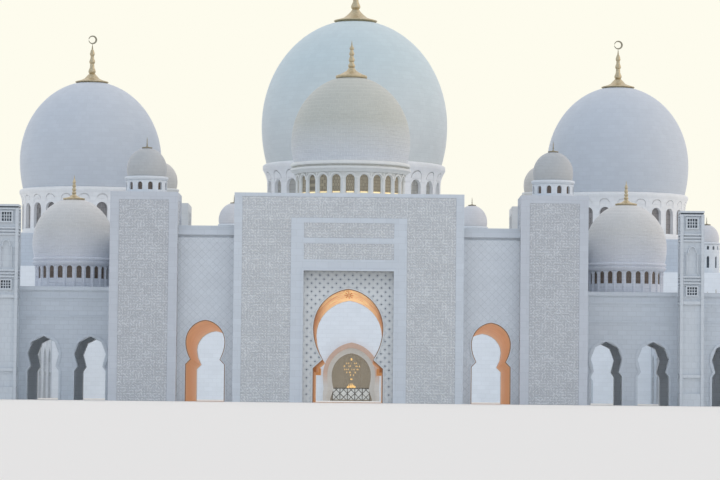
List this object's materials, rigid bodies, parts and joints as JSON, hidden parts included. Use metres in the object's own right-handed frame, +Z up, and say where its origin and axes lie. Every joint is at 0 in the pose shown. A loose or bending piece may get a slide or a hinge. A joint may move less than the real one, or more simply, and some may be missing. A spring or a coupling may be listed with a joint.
{
  "type": "domed mosque, 1:10 scale model",
  "caption": "White marble mosque at 1:10 with keyhole portal, towers, arcaded courtyard and bulbous domes on windowed drums.",
  "frame": {"origin": "centre of the whole building's footprint, on the ground", "axes": "+X to the right along the front, +Y from the portal back across the courtyard to the prayer hall, +Z up"},
  "size_m": [13.2, 19, 7.7296],
  "materials": {
    "marble": "honed white marble",
    "warm_marble": "small marble tiles",
    "bright_marble": "polished white marble",
    "lit_soffit": "lamp-lit plaster",
    "gilding": "gold mosaic",
    "glazing": "tinted glass"
  },
  "bodies": {
    "root": {"portal_front_wall": "marble", "courtyard_wall": "marble", "portal_vault": "lit_soffit", "nave_roof": "marble", "entrance_drum": "warm_marble", "entrance_dome": "warm_marble", "entrance_finial": "gilding", "right_nave_wall": "marble", "left_nave_wall": "marble", "right_curtain_wall": "marble", "left_curtain_wall": "marble", "right_keyhole_vault": "lit_soffit", "left_keyhole_vault": "lit_soffit", "right_aisle_roof": "marble", "left_aisle_roof": "marble", "right_front_tower": "marble", "left_front_tower": "marble", "right_rear_tower": "marble", "left_rear_tower": "marble", "right_wing_front_wall": "marble", "left_wing_front_wall": "marble", "right_wing_rear_wall": "marble", "left_wing_rear_wall": "marble", "right_wing_roof": "marble", "left_wing_roof": "marble", "right_wing_dome": "warm_marble", "left_wing_dome": "warm_marble", "right_pylon": "marble", "left_pylon": "marble", "right_outer_arcade": "marble", "left_outer_arcade": "marble", "right_inner_arcade": "marble", "left_inner_arcade": "marble", "right_range_roof": "marble", "left_range_roof": "marble", "hall_front_wall": "bright_marble", "hall_outer_wall": "marble", "hall_roof": "marble", "middle_roof": "marble", "hall_arch_frame": "bright_marble", "glass_screen": "glazing", "chandelier": "gilding", "great_drum": "marble", "great_dome": "marble", "great_finial": "gilding", "right_dome_base": "marble", "left_dome_base": "marble", "right_side_drum": "marble", "left_side_drum": "marble", "right_side_dome": "marble", "left_side_dome": "marble", "right_side_finial": "gilding", "left_side_finial": "gilding", "right_hall_turret": "marble", "left_hall_turret": "marble", "right_corner_turret": "marble", "left_corner_turret": "marble"}
  },
  "joints": []
}
